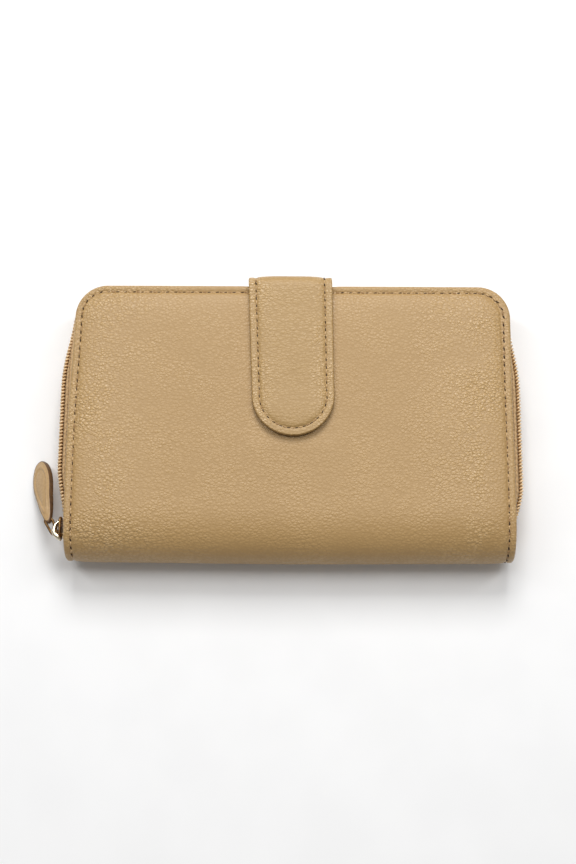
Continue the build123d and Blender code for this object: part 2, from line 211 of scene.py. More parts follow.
def tube_faces(rings, around, closed=False):
    """Faces along a row of rings, capped at both ends or joined into a loop."""
    faces = []
    for i in range(rings if closed else rings - 1):
        j = (i + 1) % rings
        for k in range(around):
            n = (k + 1) % around
            faces.append((i * around + k, i * around + n, j * around + n, j * around + k))
    if not closed:
        faces.append(tuple(reversed(range(around))))
        faces.append(tuple(range((rings - 1) * around, rings * around)))
    return faces


def stacked(layers):
    """Closed mesh through a stack of rings, where a layer of one point closes it."""
    around = max(len(layer) for layer in layers)
    faces, start = [], 0
    for low, high in zip(layers[:-1], layers[1:]):
        above = start + len(low)
        for k in range(around):
            a, b = k % len(low), (k + 1) % around % len(low)
            c, d = (k + 1) % around % len(high), k % len(high)
            corners = (start + a, above + d, above + c, start + b)
            faces.append(tuple(dict.fromkeys(corners)))
        start = above
    return np.vstack(layers), faces


def tube_along(path, radius, around, closed=False):
    """Round tube along a path of points."""
    if closed:
        tangent = unit(np.roll(path, -1, 0) - np.roll(path, 1, 0))
    else:
        tangent = unit(np.gradient(path, axis=0))
    normal = np.zeros_like(path)
    normal[0] = unit(np.cross(tangent[0], (0.3, 0.2, 1.0)))
    for i in range(1, len(path)):
        before = normal[i - 1]
        normal[i] = unit(before - tangent[i] * np.dot(before, tangent[i]))
    other = np.cross(tangent, normal)
    a = even_angles(around)[None, :, None]
    ring = path[:, None] + radius * (np.cos(a) * normal[:, None] + np.sin(a) * other[:, None])
    return ring.reshape(-1, 3), tube_faces(len(path), around, closed)


def edge_steps(radius, fine_from, fine_to, reach):
    """Distances from an edge: along the corner arc, and closer together at a seam."""
    arc_steps = [radius * (1 - cos(radians(a))) for a in range(0, 91, 7)] if radius > 0 else [0.0]
    seam = list(np.arange(fine_from, fine_to, 0.45))
    rest = list(np.arange(0, reach, 1.4))
    picked = []
    for d in sorted(arc_steps + seam + rest):
        gap = 0.12 if d > 0.2 else 0.02
        if d <= reach and (not picked or d - picked[-1] > gap):
            picked.append(d)
    return picked


def plan_grid(half, top, bottom, r_top, r_bottom, seam, step, inset=0.0):
    """Rows and columns that fill a plate with round corners. Returns x, y and the outward
    direction at each row's ends; r_bottom None leaves the lower end open."""
    half, top = half - inset, top - inset
    fine = max(seam - inset - 1.8, 0.3), seam - inset + 2.6
    r_top = max(r_top - inset, 0.05)
    ys = [top - d for d in edge_steps(r_top, *fine, max(r_top, seam + 4))]
    low_end, lower = bottom, []
    if r_bottom is not None:
        bottom = bottom + inset
        r_low = max(r_bottom - inset, 0.05)
        lower = [bottom + d for d in edge_steps(r_low, *fine, max(r_low, seam + 4))]
        low_end = lower[-1]
        lower = lower[-2::-1]
    count = max(int(ceil((ys[-1] - low_end) / step)), 2)
    ys = np.array(ys + list(np.linspace(ys[-1], low_end, count + 1))[1:] + lower)
    width = np.full(len(ys), half)
    nx, ny = np.ones(len(ys)), np.zeros(len(ys))

    def round_rows(rows, r, share, way):
        level = np.sqrt(1 - share**2)
        width[rows] = half - r + r * level
        nx[rows], ny[rows] = level, way * share

    up = ys > top - r_top
    round_rows(up, r_top, np.clip((ys[up] - (top - r_top)) / r_top, 0, 1), 1)
    if r_bottom is not None:
        down = ys < bottom + r_low
        round_rows(down, r_low, np.clip(((bottom + r_low) - ys[down]) / r_low, 0, 1), -1)
    side = edge_steps(0, *fine, seam + 4)
    mid = max(int(ceil(2 * (half - side[-1]) / step)), 4)
    rows = []
    for w in width:
        ds = side if w - side[-1] > 1.0 else [d * w / half * 0.9 for d in side]
        edge = w - ds[-1]
        centre = list(np.linspace(-edge, edge, mid + 1))[1:-1]
        rows.append([-w + d for d in ds] + centre + [w - d for d in reversed(ds)])
    xs = np.array(rows)
    return xs, np.repeat(ys[:, None], xs.shape[1], axis=1), nx, ny


def border(rows, cols):
    """Grid positions round the border, clockwise from the upper left."""
    loop = [(0, j) for j in range(cols)]
    loop += [(i, cols - 1) for i in range(1, rows)]
    loop += [(rows - 1, j) for j in range(cols - 2, -1, -1)]
    loop += [(i, 0) for i in range(rows - 2, 0, -1)]
    return loop


def closed_shell(outer, inner, out_dirs, rim_steps=5, bulge=1.0):
    """Closed mesh from an outer and an inner grid, joined by a rounded rim."""
    rows, cols = outer.shape[:2]
    n = rows * cols
    idx = np.arange(n).reshape(rows, cols)
    a, b = idx[:-1, :-1].ravel(), idx[:-1, 1:].ravel()
    c, d = idx[1:, 1:].ravel(), idx[1:, :-1].ravel()
    faces = [tuple(f) for f in np.stack([a, d, c, b], 1)]
    faces += [tuple(f) for f in np.stack([a, b, c, d], 1) + n]
    loop = border(rows, cols)
    at = tuple(np.transpose(loop))
    centre, half = (outer[at] + inner[at]) / 2, (outer[at] - inner[at]) / 2
    reach = out_dirs[at] * np.linalg.norm(half, axis=1, keepdims=True) * bulge
    verts = [outer.reshape(-1, 3), inner.reshape(-1, 3)]
    m = len(loop)
    rings = [[int(i) for i in idx[at]]]
    for step in range(1, rim_steps):
        angle = pi * step / rim_steps
        verts.append(centre + half * cos(angle) + reach * sin(angle))
        first = 2 * n + (step - 1) * m
        rings.append(list(range(first, first + m)))
    rings.append([i + n for i in rings[0]])
    for near, far in zip(rings[:-1], rings[1:]):
        for q in range(m):
            r = (q + 1) % m
            faces.append((near[q], near[r], far[r], far[q]))
    return np.vstack(verts), faces


# ---------------------------------------------------------------- materials
class Shader:
    """Short forms for wiring the nodes of one material."""

    def __init__(self, name):
        self.material = bpy.data.materials.new(name)
        self.material.use_nodes = True
        self.tree = self.material.node_tree
        self.surface = self.tree.nodes["Principled BSDF"].inputs
        self.coords = self.node("TexCoord").outputs["Object"]

    def wire(self, value, socket):
        """Links another node's output to a socket, or sets a plain value."""
        if isinstance(value, bpy.types.NodeSocket):
            self.tree.links.new(value, socket)
        else:
            socket.default_value = value

    def node(self, kind, **values):
        made = self.tree.nodes.new("ShaderNode" + kind)
        for key, value in values.items():
            if key in made.inputs:
                self.wire(value, made.inputs[key])
            else:
                setattr(made, key, value)
        return made

    def texture(self, kind, output, vector=None, **values):
        made = self.node("Tex" + kind, **values)
        self.wire(vector or self.coords, made.inputs["Vector"])
        return made.outputs[output]

    def noise(self, scale, detail, **values):
        return self.texture("Noise", "Fac", Scale=scale, Detail=detail, **values)

    def mapped(self, turn, scale):
        """Coordinates turned about z by some degrees and stretched."""
        turn = (0, 0, radians(turn))
        return self.node("Mapping", Vector=self.coords, Rotation=turn, Scale=scale).outputs[0]

    def math(self, operation, *values):
        made = self.node("Math", operation=operation)
        for value, socket in zip(values, made.inputs):
            self.wire(value, socket)
        return made.outputs[0]

    def plus(self, total, *terms):
        """A value with each (value, share) added to it."""
        for value, share in terms:
            total = self.math("ADD", total, self.math("MULTIPLY", value, share))
        return total

    def remap(self, value, low, high, to_low=0.0, to_high=1.0, kind="SMOOTHSTEP"):
        made = self.node("MapRange", interpolation_type=kind, Value=value)
        names = ("From Min", "From Max", "To Min", "To Max")
        for name, limit in zip(names, (low, high, to_low, to_high)):
            made.inputs[name].default_value = limit
        return made.outputs["Result"]

    def mix(self, factor, a, b):
        made = self.node("Mix", data_type="RGBA")
        # a colour mix uses input sockets 6 and 7, and output socket 2
        for value, index in ((factor, 0), (a, 6), (b, 7)):
            self.wire(value, made.inputs[index])
        return made.outputs[2]

    def bump(self, height, strength, distance):
        made = self.node("Bump", Height=height, Strength=strength, Distance=distance)
        self.wire(made.outputs["Normal"], self.surface["Normal"])

    def finish(self, colour, roughness, **others):
        self.wire(colour, self.surface["Base Color"])
        self.wire(roughness, self.surface["Roughness"])
        for name, value in others.items():
            self.wire(value, self.surface[name])
        return self.material


def srgb(r, g, b):
    def lin(v):
        v = v / 255
        return v / 12.92 if v <= 0.04045 else ((v + 0.055) / 1.055) ** 2.4

    return (lin(r), lin(g), lin(b), 1.0)


def leather(name, base, dark, light, cell=0.00128, depth=0.00034, turn=32.0, stretch=0.86,
            sides=None):
    """Pebbled leather: rounded pebbles with soft creases, uneven tone and fine pores.

    sides is (middle, from, to) along x: beyond that distance the pebbles stand out and shine, and their
    tops are lightened towards a pale tan as a painted highlight. Everywhere the creases are darkened
    towards dark as painted shade.
    """
    sh = Shader(name)
    wobble = sh.texture("Noise", "Color", Scale=330.0, Detail=2.0)
    shift = sh.node("VectorMath", operation="MULTIPLY_ADD")
    grain = sh.mapped(turn, (stretch, 1.12, 1.0))
    for value, socket in zip((wobble, (0.001, 0.001, 0.001), grain), shift.inputs):
        sh.wire(value, socket)

    def cells(scale, **values):
        return sh.texture("Voronoi", "Distance", shift.outputs[0], Scale=scale / cell, **values)

    pebbles = cells(1.0, feature="SMOOTH_F1", Randomness=0.95, Smoothness=0.35)
    edges = cells(1.0, feature="DISTANCE_TO_EDGE", Randomness=0.95)
    small = cells(2.1, feature="SMOOTH_F1", Randomness=1.0, Smoothness=0.3)
    folds = sh.noise(420.0, 2.0, vector=sh.mapped(turn + 4, (0.35, 1.5, 1.0)))
    pores = sh.noise(3000.0, 3.0)
    tone = sh.noise(26.0, 3.0, Roughness=0.55)
    uneven = sh.remap(sh.noise(60.0, 2.0), 0.3, 0.7, 0.5, 1.0)
    dome = sh.remap(pebbles, 0.05, 0.85, 1.0, 0.0)
    crease = sh.remap(edges, 0.0, 0.2)
    fine = sh.remap(small, 0.0, 0.8, 1.0, 0.0)
    height = sh.plus(sh.math("MULTIPLY", dome, 0.6), (crease, 0.22), (fine, 0.2))
    height = sh.plus(sh.math("MULTIPLY", height, uneven), (folds, 0.22), (pores, 0.07))
    body = sh.mix(sh.remap(tone, 0.3, 0.7), base, light)
    # painted shade: the colour darkens towards dark in the creases and low places of the grain
    crease_shade = sh.remap(height, 0.25, 0.7, 0.16, 0.0)
    rough = sh.remap(height, 0.2, 1.0, 0.51, 0.35, "LINEAR")
    strength = 0.66
    if sides:
        middle, begin, full = sides
        x = sh.node("SeparateXYZ", Vector=sh.coords).outputs["X"]
        away = sh.math("ABSOLUTE", sh.math("SUBTRACT", x, middle))
        near_side = sh.math("MULTIPLY", sh.remap(away, begin, full), uneven)
        strength = sh.math("ADD", sh.math("MULTIPLY", near_side, 0.5), 0.55)
        # painted highlight: near the sides the pebble tops are lightened towards the pale tan, standing
        # in for glints
        raised = sh.math("MULTIPLY", near_side, sh.remap(height, 0.35, 0.8, 0.1, 0.75))
        body = sh.mix(raised, body, TAN_PAINTED_GLINT)
        rough = sh.math("SUBTRACT", rough, sh.math("MULTIPLY", near_side, 0.12))
    sh.bump(height, strength, depth)
    return sh.finish(sh.mix(crease_shade, body, dark), rough)


def woven(name, base, dark, thread=0.00042):
    """Plain weave: crossed ribs with shaded gaps and uneven yarn."""
    sh = Shader(name)
    weave = dict(Scale=1 / thread / 20, Distortion=0.6, Detail=1.0)
    ribs = [sh.texture("Wave", "Fac", bands_direction=axis, **weave) for axis in "XYZ"]
    yarn = sh.noise(900.0, 3.0)
    height = sh.plus(sh.math("MULTIPLY", ribs[0], ribs[1]), (ribs[2], 0.6), (yarn, 0.5))
    sh.bump(height, 0.5, 0.0002)
    return sh.finish(sh.mix(sh.remap(height, 0.2, 1.3), dark, base), 0.85)


def thread_material(name, base, dark):
    """Twisted sewing thread: slanted plies, brighter on the crown and darker between the plies, as
    painted highlight and painted shade.
    """
    sh = Shader(name)
    twist = dict(Scale=110.0, Distortion=1.5, Detail=1.0)
    ply = sh.texture("Wave", "Fac", bands_direction="DIAGONAL", **twist)
    sh.bump(sh.plus(ply, (sh.noise(1500.0, 2.0), 0.4)), 0.5, 0.00015)
    # painted shade between the plies and a painted highlight on their crowns
    return sh.finish(sh.mix(sh.remap(ply, 0.1, 0.8), dark, base), 0.55)


def metal(name, base, stain, roughness):
    """Plated metal with faint rubbing marks and slight tarnish."""
    sh = Shader(name)
    marks = sh.noise(420.0, 4.0, Roughness=0.6)
    colour = sh.mix(sh.remap(marks, 0.45, 0.75), base, stain)
    sh.bump(sh.noise(2600.0, 2.0), 0.12, 0.00005)
    rough = sh.remap(marks, 0.3, 0.7, roughness * 0.75, roughness * 1.5)
    return sh.finish(colour, rough, Metallic=1.0)


def plastic(name, base, dark, roughness):
    """Moulded or painted surface: slight tone changes and a faintly uneven gloss."""
    sh = Shader(name)
    mottle = sh.noise(600.0, 3.0)
    colour = sh.mix(sh.remap(mottle, 0.35, 0.7), base, dark)
    sh.bump(mottle, 0.15, 0.00005)
    return sh.finish(colour, sh.remap(mottle, 0.3, 0.7, roughness * 0.8, roughness * 1.3))


# pale tan for the painted highlight on pebble tops near the leather's sides
TAN_PAINTED_GLINT = srgb(187, 155, 107)
# the dark tan is the cover's and strap's crease colour: painted shade
TAN, TAN_CREASE_SHADE, TAN_LIGHT = srgb(169, 136, 87), srgb(128, 97, 56), srgb(172, 139, 90)
MAT_COVER = leather("CoverLeather", TAN, TAN_CREASE_SHADE, TAN_LIGHT, sides=(0.0, 0.045, 0.085))
MAT_STRAP = leather(
    "StrapLeather", srgb(166, 134, 84), TAN_CREASE_SHADE, srgb(169, 137, 87), cell=0.0012, depth=0.0003,
    turn=0.0, stretch=0.7, sides=(0.0005, 0.006, 0.014),
)
MAT_PULL = leather(
    "PullLeather", srgb(174, 142, 98), srgb(128, 98, 60), srgb(182, 150, 106),
    cell=0.0014, depth=0.0001,
)
# painted shade: the dark brown on the pull's edge stands in for its shaded side
MAT_PULL_SIDE_SHADE = plastic("PullSideShade", srgb(96, 68, 40), srgb(78, 54, 32), 0.5)
MAT_POCKET = leather(
    "PocketLeather", srgb(166, 134, 94), srgb(124, 94, 60), srgb(173, 142, 101),
    cell=0.0014, depth=0.00015,
)
MAT_LINING = woven("LiningCloth", srgb(142, 112, 80), srgb(104, 78, 52))
MAT_TAPE = woven("ZipTape", srgb(212, 174, 123), srgb(172, 136, 91), thread=0.0004)
MAT_THREAD = thread_material("Thread", srgb(188, 156, 112), srgb(146, 112, 72))
# painted shade: each needle hole is a dark lens standing in for the shade inside it
MAT_HOLE_SHADE = plastic("NeedleHoleShade", srgb(74, 50, 30), srgb(52, 34, 20), 0.9)
MAT_COIL = plastic("ZipTeeth", srgb(236, 206, 162), srgb(208, 176, 130), 0.22)
MAT_GOLD = metal("PaleGold", srgb(236, 226, 200), srgb(206, 190, 156), 0.22)
# a darker gold as painted shade for the ring's shadowed side; the slider's plates use it too
MAT_SHADED_GOLD = metal("ShadedGold", srgb(132, 102, 66), srgb(84, 60, 36), 0.3)
MAT_STEEL = metal("SnapMetal", srgb(206, 200, 188), srgb(170, 164, 150), 0.28)
MAT_BOARD = plastic("StiffenerBoard", srgb(170, 160, 140), srgb(150, 140, 120), 0.8)
MAT_WINDOW = plastic("ClearWindow", srgb(226, 230, 232), srgb(214, 220, 224), 0.12)
MAT_WINDOW.node_tree.nodes["Principled BSDF"].inputs["Alpha"].default_value = 0.35


# ---------------------------------------------------------------- the leather that goes round the spine
FOLD_DEPTH = FOLD_START_Y - SPINE_FACE_Y
FOLD_POWER = 2.35


def fold_path():
    """Side view from the end of the flat cover to the middle of the spine."""
    t = np.linspace(0, pi / 2, 400)
    y = FOLD_START_Y - FOLD_DEPTH * np.sin(t) ** (2 / FOLD_POWER)
    z = MID_Z + (TOP_Z - MID_Z) * np.cos(t) ** (2 / FOLD_POWER)
    z[-1] = MID_Z
    return side_view(y, z)


FOLD_RUN, FOLD = fold_path()
FOLD_LENGTH = FOLD_RUN[-1]
SPINE_END = FOLD_START_Y - FOLD_LENGTH     # flattened y of the middle of the spine


def on_cover(flat_y):
    """Side-view place, direction to the opening edge and outward normal for a flattened y."""
    run = np.clip(FOLD_START_Y - flat_y, 0, FOLD_LENGTH)
    y, z, ty, tz = read_columns(run, FOLD_RUN, FOLD)
    bent = flat_y < FOLD_START_Y
    y, z = np.where(bent, y, flat_y), np.where(bent, z, TOP_Z)
    ty, tz = np.where(bent, -ty, 1.0), np.where(bent, -tz, 0.0)
    size = np.hypot(ty, tz)
    return y, z, ty / size, tz / size


def on_spine(flat_y):
    """0 on the flat cover, 1 in the middle of the spine."""
    return smooth((FOLD_START_Y - flat_y) / FOLD_LENGTH)


def cover_width(flat_y):
    """Half width of the leather, a little narrower at the top and down on the spine."""
    run = FOLD_START_Y - flat_y
    top = 0.9 * smooth((flat_y + 20) / 75)
    low = 0.2 * smooth((run - 10) / (FOLD_LENGTH - 10))
    return HALF_W - top - low


def tapered(x, flat_y):
    """Draws a point of the plain rectangle in with the leather's true width."""
    share = np.abs(x) / HALF_W
    sway = 0.85 * smooth((flat_y + 5) / 55)
    return x * (1 - (1 - cover_width(flat_y) / HALF_W) * share) + sway


def edge_distance(x, flat_y):
    """Distance from the cover's edge, measured on the flattened leather."""
    grown = np.abs(x) + (HALF_W - cover_width(flat_y))
    qx = grown - (HALF_W - CORNER_R)
    qy = flat_y - (EDGE_Y - CORNER_R)
    outside = np.hypot(np.maximum(qx, 0), np.maximum(qy, 0))
    return CORNER_R - (outside + np.minimum(np.maximum(qx, qy), 0))


def cover_height(x, flat_y, front):
    """How far the padded leather stands above the flat cover."""
    d = edge_distance(x, flat_y)
    crown = 1.5 if front else 0.7
    beyond = np.maximum(d - STITCH_IN, 0)
    swell = 1 - np.exp(-beyond / 3.4)
    rim = 0.1 * np.sin(np.clip(d / STITCH_IN, 0, 1) * pi)
    valley = -0.32 * bell(d - STITCH_IN, 0.7)
    height = crown * swell + rim + valley
    height += 0.16 * wave_noise(x, flat_y, 3 if front else 4, 62) * smooth((d - 5) / 14)
    pucker = np.sin((x + flat_y) * 2 * pi / (STITCH_PITCH * 2.1) + 2 * np.sin(x * 0.11))
    height += 0.03 * pucker * bell(beyond - 1.8, 1.8) * (d > 3)
    if front:
        across = np.abs(x - STRAP_X - 1.5)
        under_strap = smooth((STRAP_HALF + 4 - across) / 5) * smooth((flat_y + 12) / 6)
        height -= 0.3 * under_strap
        dish = smooth((8.6 - np.hypot(x - STUD[0], flat_y - STUD[1])) / 2.0)
        height *= 1 - dish
    else:
        height -= BACK_IN
    # both halves reach the middle of the spine at the same height
    meeting = 0.6 * swell + rim + valley - 0.1
    meeting += 0.5 * smooth(1 - np.abs(x) / (HALF_W - 4))
    share = on_spine(flat_y)
    return height * (1 - share) + meeting * share


def cover_points(x, flat_y, front, lift):
    y, z, ty, tz = on_cover(flat_y)
    y = y - tz * lift
    z = z + ty * lift
    return np.stack([x, y, z if front else 2 * MID_Z - z], -1)


def cover_line(x, flat_y, front):
    """Points on the padded cover and the directions out of it."""
    lift = cover_height(x, flat_y, front)
    points = cover_points(x, flat_y, front, lift)
    return points, cover_points(x, flat_y, front, lift + 1) - points


def rim_directions(nx, ny, flat_y, front):
    """Outward directions round the border of a layer that follows the cover."""
    _, _, ty, tz = on_cover(flat_y[:, 0])
    dirs = np.zeros(flat_y.shape + (3,))
    dirs[:, -1] = np.stack([nx, ny * ty, ny * tz * (1 if front else -1)], 1)
    dirs[:, 0] = dirs[:, -1] * (-1, 1, 1)
    dirs[0, 1:-1] = (0, 1, 0)
    return dirs


def blend_round_spine(piece):
    """Bakes the piece's transform into its mesh; the bend from its cover into the spine is already in
    its shape.
    """
    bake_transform(piece)


def make_cover_skin(side):
    """One half of the outer leather: a padded cover that rolls into the spine's middle."""
    front = side == "front"
    xs, yy, nx, ny = plan_grid(
        HALF_W, EDGE_Y, SPINE_END, CORNER_R, None, STITCH_IN, 2.0, inset=COVER_T / 2
    )
    xs = tapered(xs, yy)
    outer = cover_points(xs, yy, front, cover_height(xs, yy, front))
    lift = 0.5 * smooth((edge_distance(xs, yy) - 4) / 4) - (0.0 if front else BACK_IN)
    inner = cover_points(xs, yy, front, lift * (1 - on_spine(yy)) - COVER_T)
    verts, faces = closed_shell(outer, inner, rim_directions(nx, ny, yy, front), rim_steps=6)
    piece = fix_normals(make_object("cover_leather_" + side, verts, faces, MAT_COVER))
    rows, cols = xs.shape
    last_row = range((rows - 1) * cols, rows * cols)
    for edge in piece.data.edges:
        if all(index in last_row for index in edge.vertices):
            edge.use_edge_sharp = True
    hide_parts(side + "_leather", "spine_leather")
    blend_round_spine(piece)


def make_lining_skin(side):
    """Lining cloth glued to the inside of one cover and on round to the middle of the spine."""
    front = side == "front"
    lo, hi = mm_box(side + "_lining")
    far, near = (TOP_Z - lo[2], TOP_Z - hi[2]) if front else (hi[2], lo[2])
    inset = (far - near) / 2
    xs, yy, nx, ny = plan_grid(hi[0], hi[1], SPINE_END, 9.0, None, 2.0, 4.0, inset=inset)
    ripple = 0.1 * wave_noise(xs, yy, 31 if front else 32, 55)
    shown = cover_points(xs, yy, front, -far + ripple)
    glued = cover_points(xs, yy, front, -near)
    verts, faces = closed_shell(shown, glued, rim_directions(nx, ny, yy, front), rim_steps=3)
    piece = fix_normals(make_object(side + "_lining_cloth", verts, faces, MAT_LINING))
    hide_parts(side + "_lining", "spine_lining")
    blend_round_spine(piece)


# ---------------------------------------------------------------- stitches
def stitch_shape(length, width):
    """One thread stitch: a rounded bead longer than wide, both ends dipping."""
    rings, around = 7, 8
    verts = []
    for t in np.linspace(-1, 1, rings):
        r = width / 2 * sqrt(max(1 - abs(t) ** 3.2, 0.02))
        dip = -0.28 * abs(t) ** 3
        for a in even_angles(around):
            verts.append((t * length / 2, r * cos(a), r * 0.8 * sin(a) + dip))
    return np.array(verts), tube_faces(rings, around)


def hole_shade_shape(length, width):
    """Needle hole: a flat dark lens let into the leather, painted shade for the hole."""
    rim = [(length / 2 * cos(a), width / 2 * sin(a), 0.0) for a in even_angles(10)]
    return stacked([[(0, 0, 0.1)], rim, [(0, 0, -0.3)]])


def resample(points, normals, pitch):
    """Evenly spaced places along a line, with direction and surface normal."""
    run = run_length(points)
    count = int(run[-1] // pitch)
    at = (np.arange(count) + 0.5) * run[-1] / count
    place, ahead, behind = (read_points(at + step, run, points) for step in (0, 0.4, -0.4))
    return place, unit(ahead - behind), unit(read_points(at, run, normals))


def sew(points, normals, pitch, names, slot, width=0.74, slant=-9.0, seed=1):
    """Pieces for the threads and, with a second name, the dark lenses of painted shade at each needle
    hole along a line.
    """
    rng = np.random.RandomState(seed)
    share = 0.56          # of the pitch, taken by the thread
    threads, hole_shades = Soup(), Soup()
    for p, t, n in zip(*resample(points, normals, pitch)):
        side = np.cross(n, t)
        ahead, _ = turned(slant + rng.uniform(-2.5, 2.5), t, side)
        frame3 = np.stack([ahead, np.cross(n, ahead), n], 0)
        verts, faces = stitch_shape(pitch * share * rng.uniform(0.94, 1.06), width)
        threads.add(verts @ frame3 + p + n * 0.12, faces)
        # a dark lens of painted shade at the needle hole after the stitch
        verts, faces = hole_shade_shape(pitch * (1 - share) * rng.uniform(0.98, 1.15), width * 0.95)
        frame3 = np.stack([*turned(13 + rng.uniform(-4, 4), t, side), n], 0)
        hole_shades.add(verts @ frame3 + p + t * pitch / 2 + n * 0.07, faces)
    looks = (threads, MAT_THREAD), (hole_shades, MAT_HOLE_SHADE)
    return [soup.mesh(name, material, slot) for name, (soup, material) in zip(names, looks)]


def cover_seam(front, flat_stop):
    """Surface points and normals along the cover's stitch line, left end to right end."""
    across = np.linspace(CORNER_R - HALF_W, HALF_W - CORNER_R, 200)
    half, top, r = HALF_W - STITCH_IN, EDGE_Y - STITCH_IN, CORNER_R - STITCH_IN
    xs, ys = round_outline(half, top, r, (flat_stop, flat_stop), 0.8, 24, across).T
    return cover_line(tapered(xs, ys), ys, front)


# ---------------------------------------------------------------- strap
TURN_R = 4.6
LOW_R = 3.0
STRAP_REST_Z = TOP_Z + 1.75          # underside of the strap on the padded cover
STRAP_OUT_Y = BRIDGE_HI[1] - 1.3     # outer face where it crosses the edge
ROOT_Y, ROOT_Z = 53.5, 1.75          # outer face of the strap where it goes into the back edge


def strap_route():
    """Side view of the strap's outer face, from the seam at the back edge to its tip."""
    top_z = STRAP_REST_Z + STRAP_T
    points = np.vstack([
        [(ROOT_Y, ROOT_Z)],
        arc((STRAP_OUT_Y - LOW_R, ROOT_Z + LOW_R), LOW_R, -90, 0, 14),
        arc((STRAP_OUT_Y - TURN_R, top_z - TURN_R), TURN_R, 0, 90, 24),
        [(STRAP_TIP - STRAP_HALF, top_z)],
    ])
    run = run_length(points)
    y, z = read_columns(np.linspace(0, run[-1], 900), run, points)
    for _ in range(30):
        y[1:-1] = (y[:-2] + 2 * y[1:-1] + y[2:]) / 4
        z[1:-1] = (z[:-2] + 2 * z[1:-1] + z[2:]) / 4
    return side_view(y, z)


STRAP_RUN, STRAP_LINE = strap_route()
S_LENGTH = STRAP_RUN[-1]
RISING = slice(0, len(STRAP_RUN) // 3)     # the part that climbs outside the edge
S_SPLIT = float(np.interp(MID_Z, STRAP_LINE[RISING, 1], STRAP_RUN[RISING]))


def on_strap(u, run, lift):
    """Point of the strap, u across and run along it, lift above its outer face."""
    y, z, ty, tz = read_columns(run, STRAP_RUN, STRAP_LINE)
    lying = np.maximum(EDGE_Y + 2 - y, 0) * (z > MID_Z)
    wider = 1.3 * np.clip(1 - lying / 50, 0, 1) * np.maximum(u, 0) / STRAP_HALF
    x = STRAP_X + u + wider + lying * sin(STRAP_SKEW)
    lift = lift + 0.7 * smooth((run - S_LENGTH + 24) / 20)
    skew_y = u * sin(STRAP_SKEW) * smooth(lying / 12)
    return np.stack([x, y + skew_y + tz * lift, z - ty * lift], -1)


def strap_thickness(run):
    """Skived thin where it goes into the seam."""
    return 0.8 + (STRAP_T - 0.8) * smooth((run - 7) / 6)


def strap_edge_distance(u, run):
    q = STRAP_HALF - (S_LENGTH - run)
    return STRAP_HALF - np.where(q > 0, np.hypot(u, np.maximum(q, 0)), np.abs(u))


def strap_height(u, run):
    d = strap_edge_distance(u, run)
    beyond = np.maximum(d - STRAP_STITCH_IN, 0)
    height = 0.95 * (1 - np.exp(-beyond / 2.6))
    height += 0.05 * np.sin(np.clip(d / STRAP_STITCH_IN, 0, 1) * pi)
    height -= 0.3 * bell(d - STRAP_STITCH_IN, 0.6)
    height += 0.05 * wave_noise(u, run, 9, 16) * smooth((d - 4) / 5)
    return height * (0.75 * smooth((run - 8) / 7) + 0.25 * smooth((run - 34) / 10))


def make_strap_half(name, run_from, run_to, nodes):
    """Padded strap between two places on its route, with a round tip if it reaches the end."""
    edge_round = 0.5
    inset = STRAP_T / 2 * edge_round
    r = STRAP_HALF - inset
    tip = run_to == S_LENGTH
    if tip:
        steps = [0.05] + [d for d in edge_steps(r, 1.0, 6.0, r) if d > 0.1]
        rows = [S_LENGTH - inset - d for d in steps]
        count = int(ceil(rows[-1] - run_from))
        rows = np.array(rows + list(np.linspace(rows[-1], run_from, count + 1))[1:])
        q = np.clip((STRAP_HALF - (S_LENGTH - rows)) / r, 0, 1)
    else:
        rows = np.linspace(run_to, run_from, int(ceil((run_to - run_from) / 0.8)))
        q = np.zeros(len(rows))
    level = np.sqrt(1 - q**2)
    side = [0, 0.35, 0.8, 1.2, 1.5, 1.8, 2.1, 2.4, 2.7, 3.0, 3.5, 4.2, 5.0, 6.0]
    us = []
    for w in r * level:
        ds = [d * min(1.0, w / (side[-1] + 3)) for d in side]
        middle = np.linspace(ds[-1] - w, w - ds[-1], 15)[1:-1]
        us.append([d - w for d in ds] + list(middle) + [w - d for d in reversed(ds)])
    us = np.array(us)
    rr = np.repeat(rows[:, None], us.shape[1], axis=1)
    outer = on_strap(us, rr, strap_height(us, rr))
    under = 0.25 * smooth((strap_edge_distance(us, rr) - 3) / 3) - strap_thickness(rr)
    inner = on_strap(us, rr, under)
    ahead = unit(on_strap(us, rr + 0.2, 0) - on_strap(us, rr - 0.2, 0))
    dirs = np.zeros(outer.shape)
    for column, way in ((-1, 1), (0, -1)):
        dirs[:, column] = ahead[:, column] * q[:, None]
        dirs[:, column, 0] += way * level
    if tip:
        dirs[0, :] = ahead[0, :]
    verts, faces = closed_shell(outer, inner, dirs, rim_steps=7, bulge=edge_round)
    piece = fix_normals(make_object(name, verts, faces, MAT_STRAP))
    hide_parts(*nodes)
    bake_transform(piece)


def strap_seam():
    """Stitch line down one side, round the tip and up the other, on the lying part."""
    r = STRAP_HALF - STRAP_STITCH_IN
    round_from = S_LENGTH - STRAP_HALF
    begin = round_from - (EDGE_Y + 3.2 - STRAP_TIP)
    going, coming = np.arange(begin, round_from, 0.7), np.arange(round_from, begin, -0.7)
    us, runs = np.vstack([
        np.column_stack([0 * going - r, going]),
        arc((0, round_from), r, -180, -360, 60),
        np.column_stack([0 * coming + r, coming]),
    ]).T
    lift = strap_height(us, runs)
    points = on_strap(us, runs, lift)
    return points, on_strap(us, runs, lift + 1) - points


# ---------------------------------------------------------------- zip
BOW = 5.0                 # the most that the teeth stand outside the cover's edge
BOW_FALL_Y = 12.0         # from here the bow falls off towards the corner
BOW_FALL_POWER = 1.6


def bow_along(y, by_spine, by_corner, rise_y, rise, fall):
    """Bow of one side: it grows from by_spine over a length, stays full, and falls to by_corner."""
    grown = smooth((y - rise_y) / rise)
    fallen = smooth((y - BOW_FALL_Y) / fall) ** BOW_FALL_POWER
    return by_spine + (BOW - by_spine) * grown - (BOW - by_corner) * fallen


